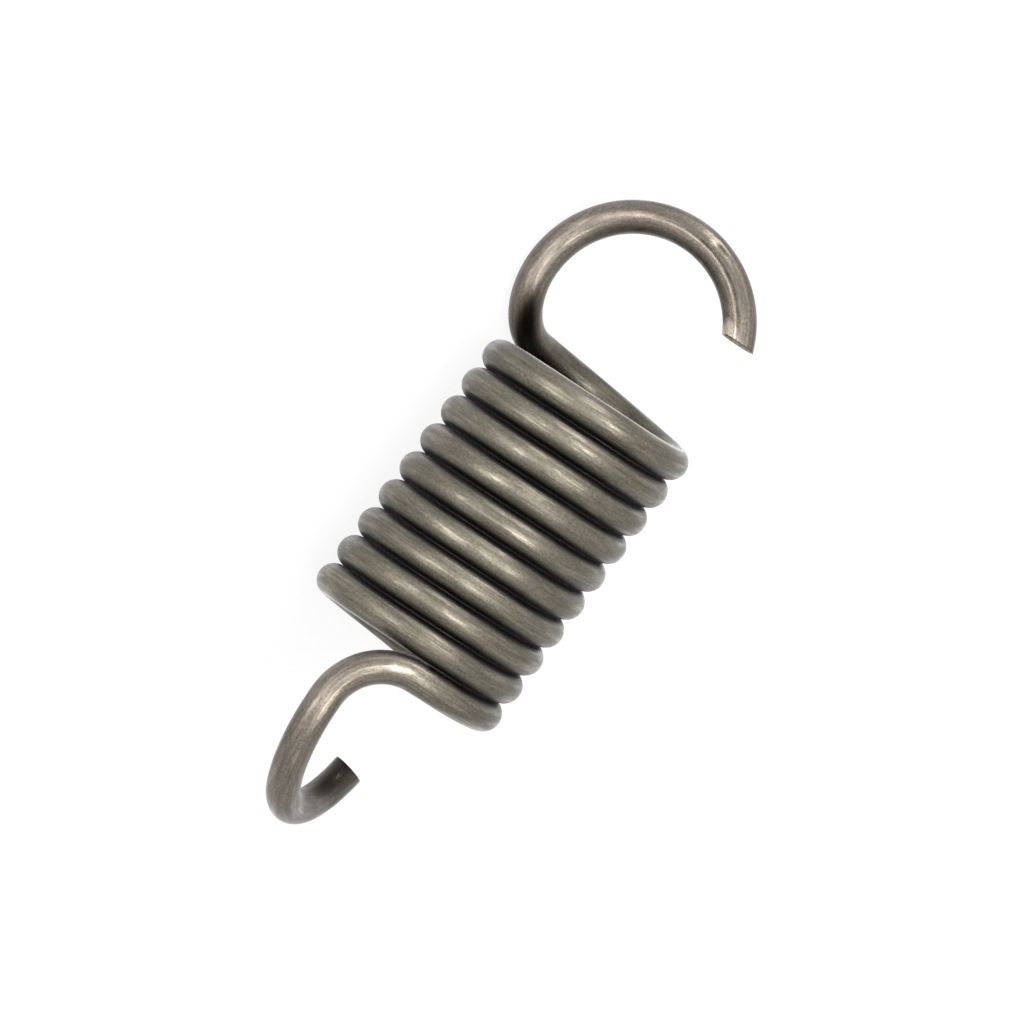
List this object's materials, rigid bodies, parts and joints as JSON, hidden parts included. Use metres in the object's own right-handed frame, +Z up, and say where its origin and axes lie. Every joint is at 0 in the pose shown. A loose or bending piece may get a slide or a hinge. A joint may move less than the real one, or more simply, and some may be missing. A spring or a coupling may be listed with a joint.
{
  "type": "extension spring",
  "caption": "Close-wound extension spring of round steel wire with a large open hook at each end.",
  "frame": {"origin": "on the table, under the middle of the spring's bounding box", "axes": "+X along the coil towards the right hook, +Z up as the spring lies on its coil and left hook"},
  "size_m": [0.0426, 0.0142, 0.0137],
  "materials": {
    "spring_steel": "satin, drawn and oil-tempered spring wire"
  },
  "bodies": {
    "root": {"spring_wire": "spring_steel"}
  },
  "joints": []
}
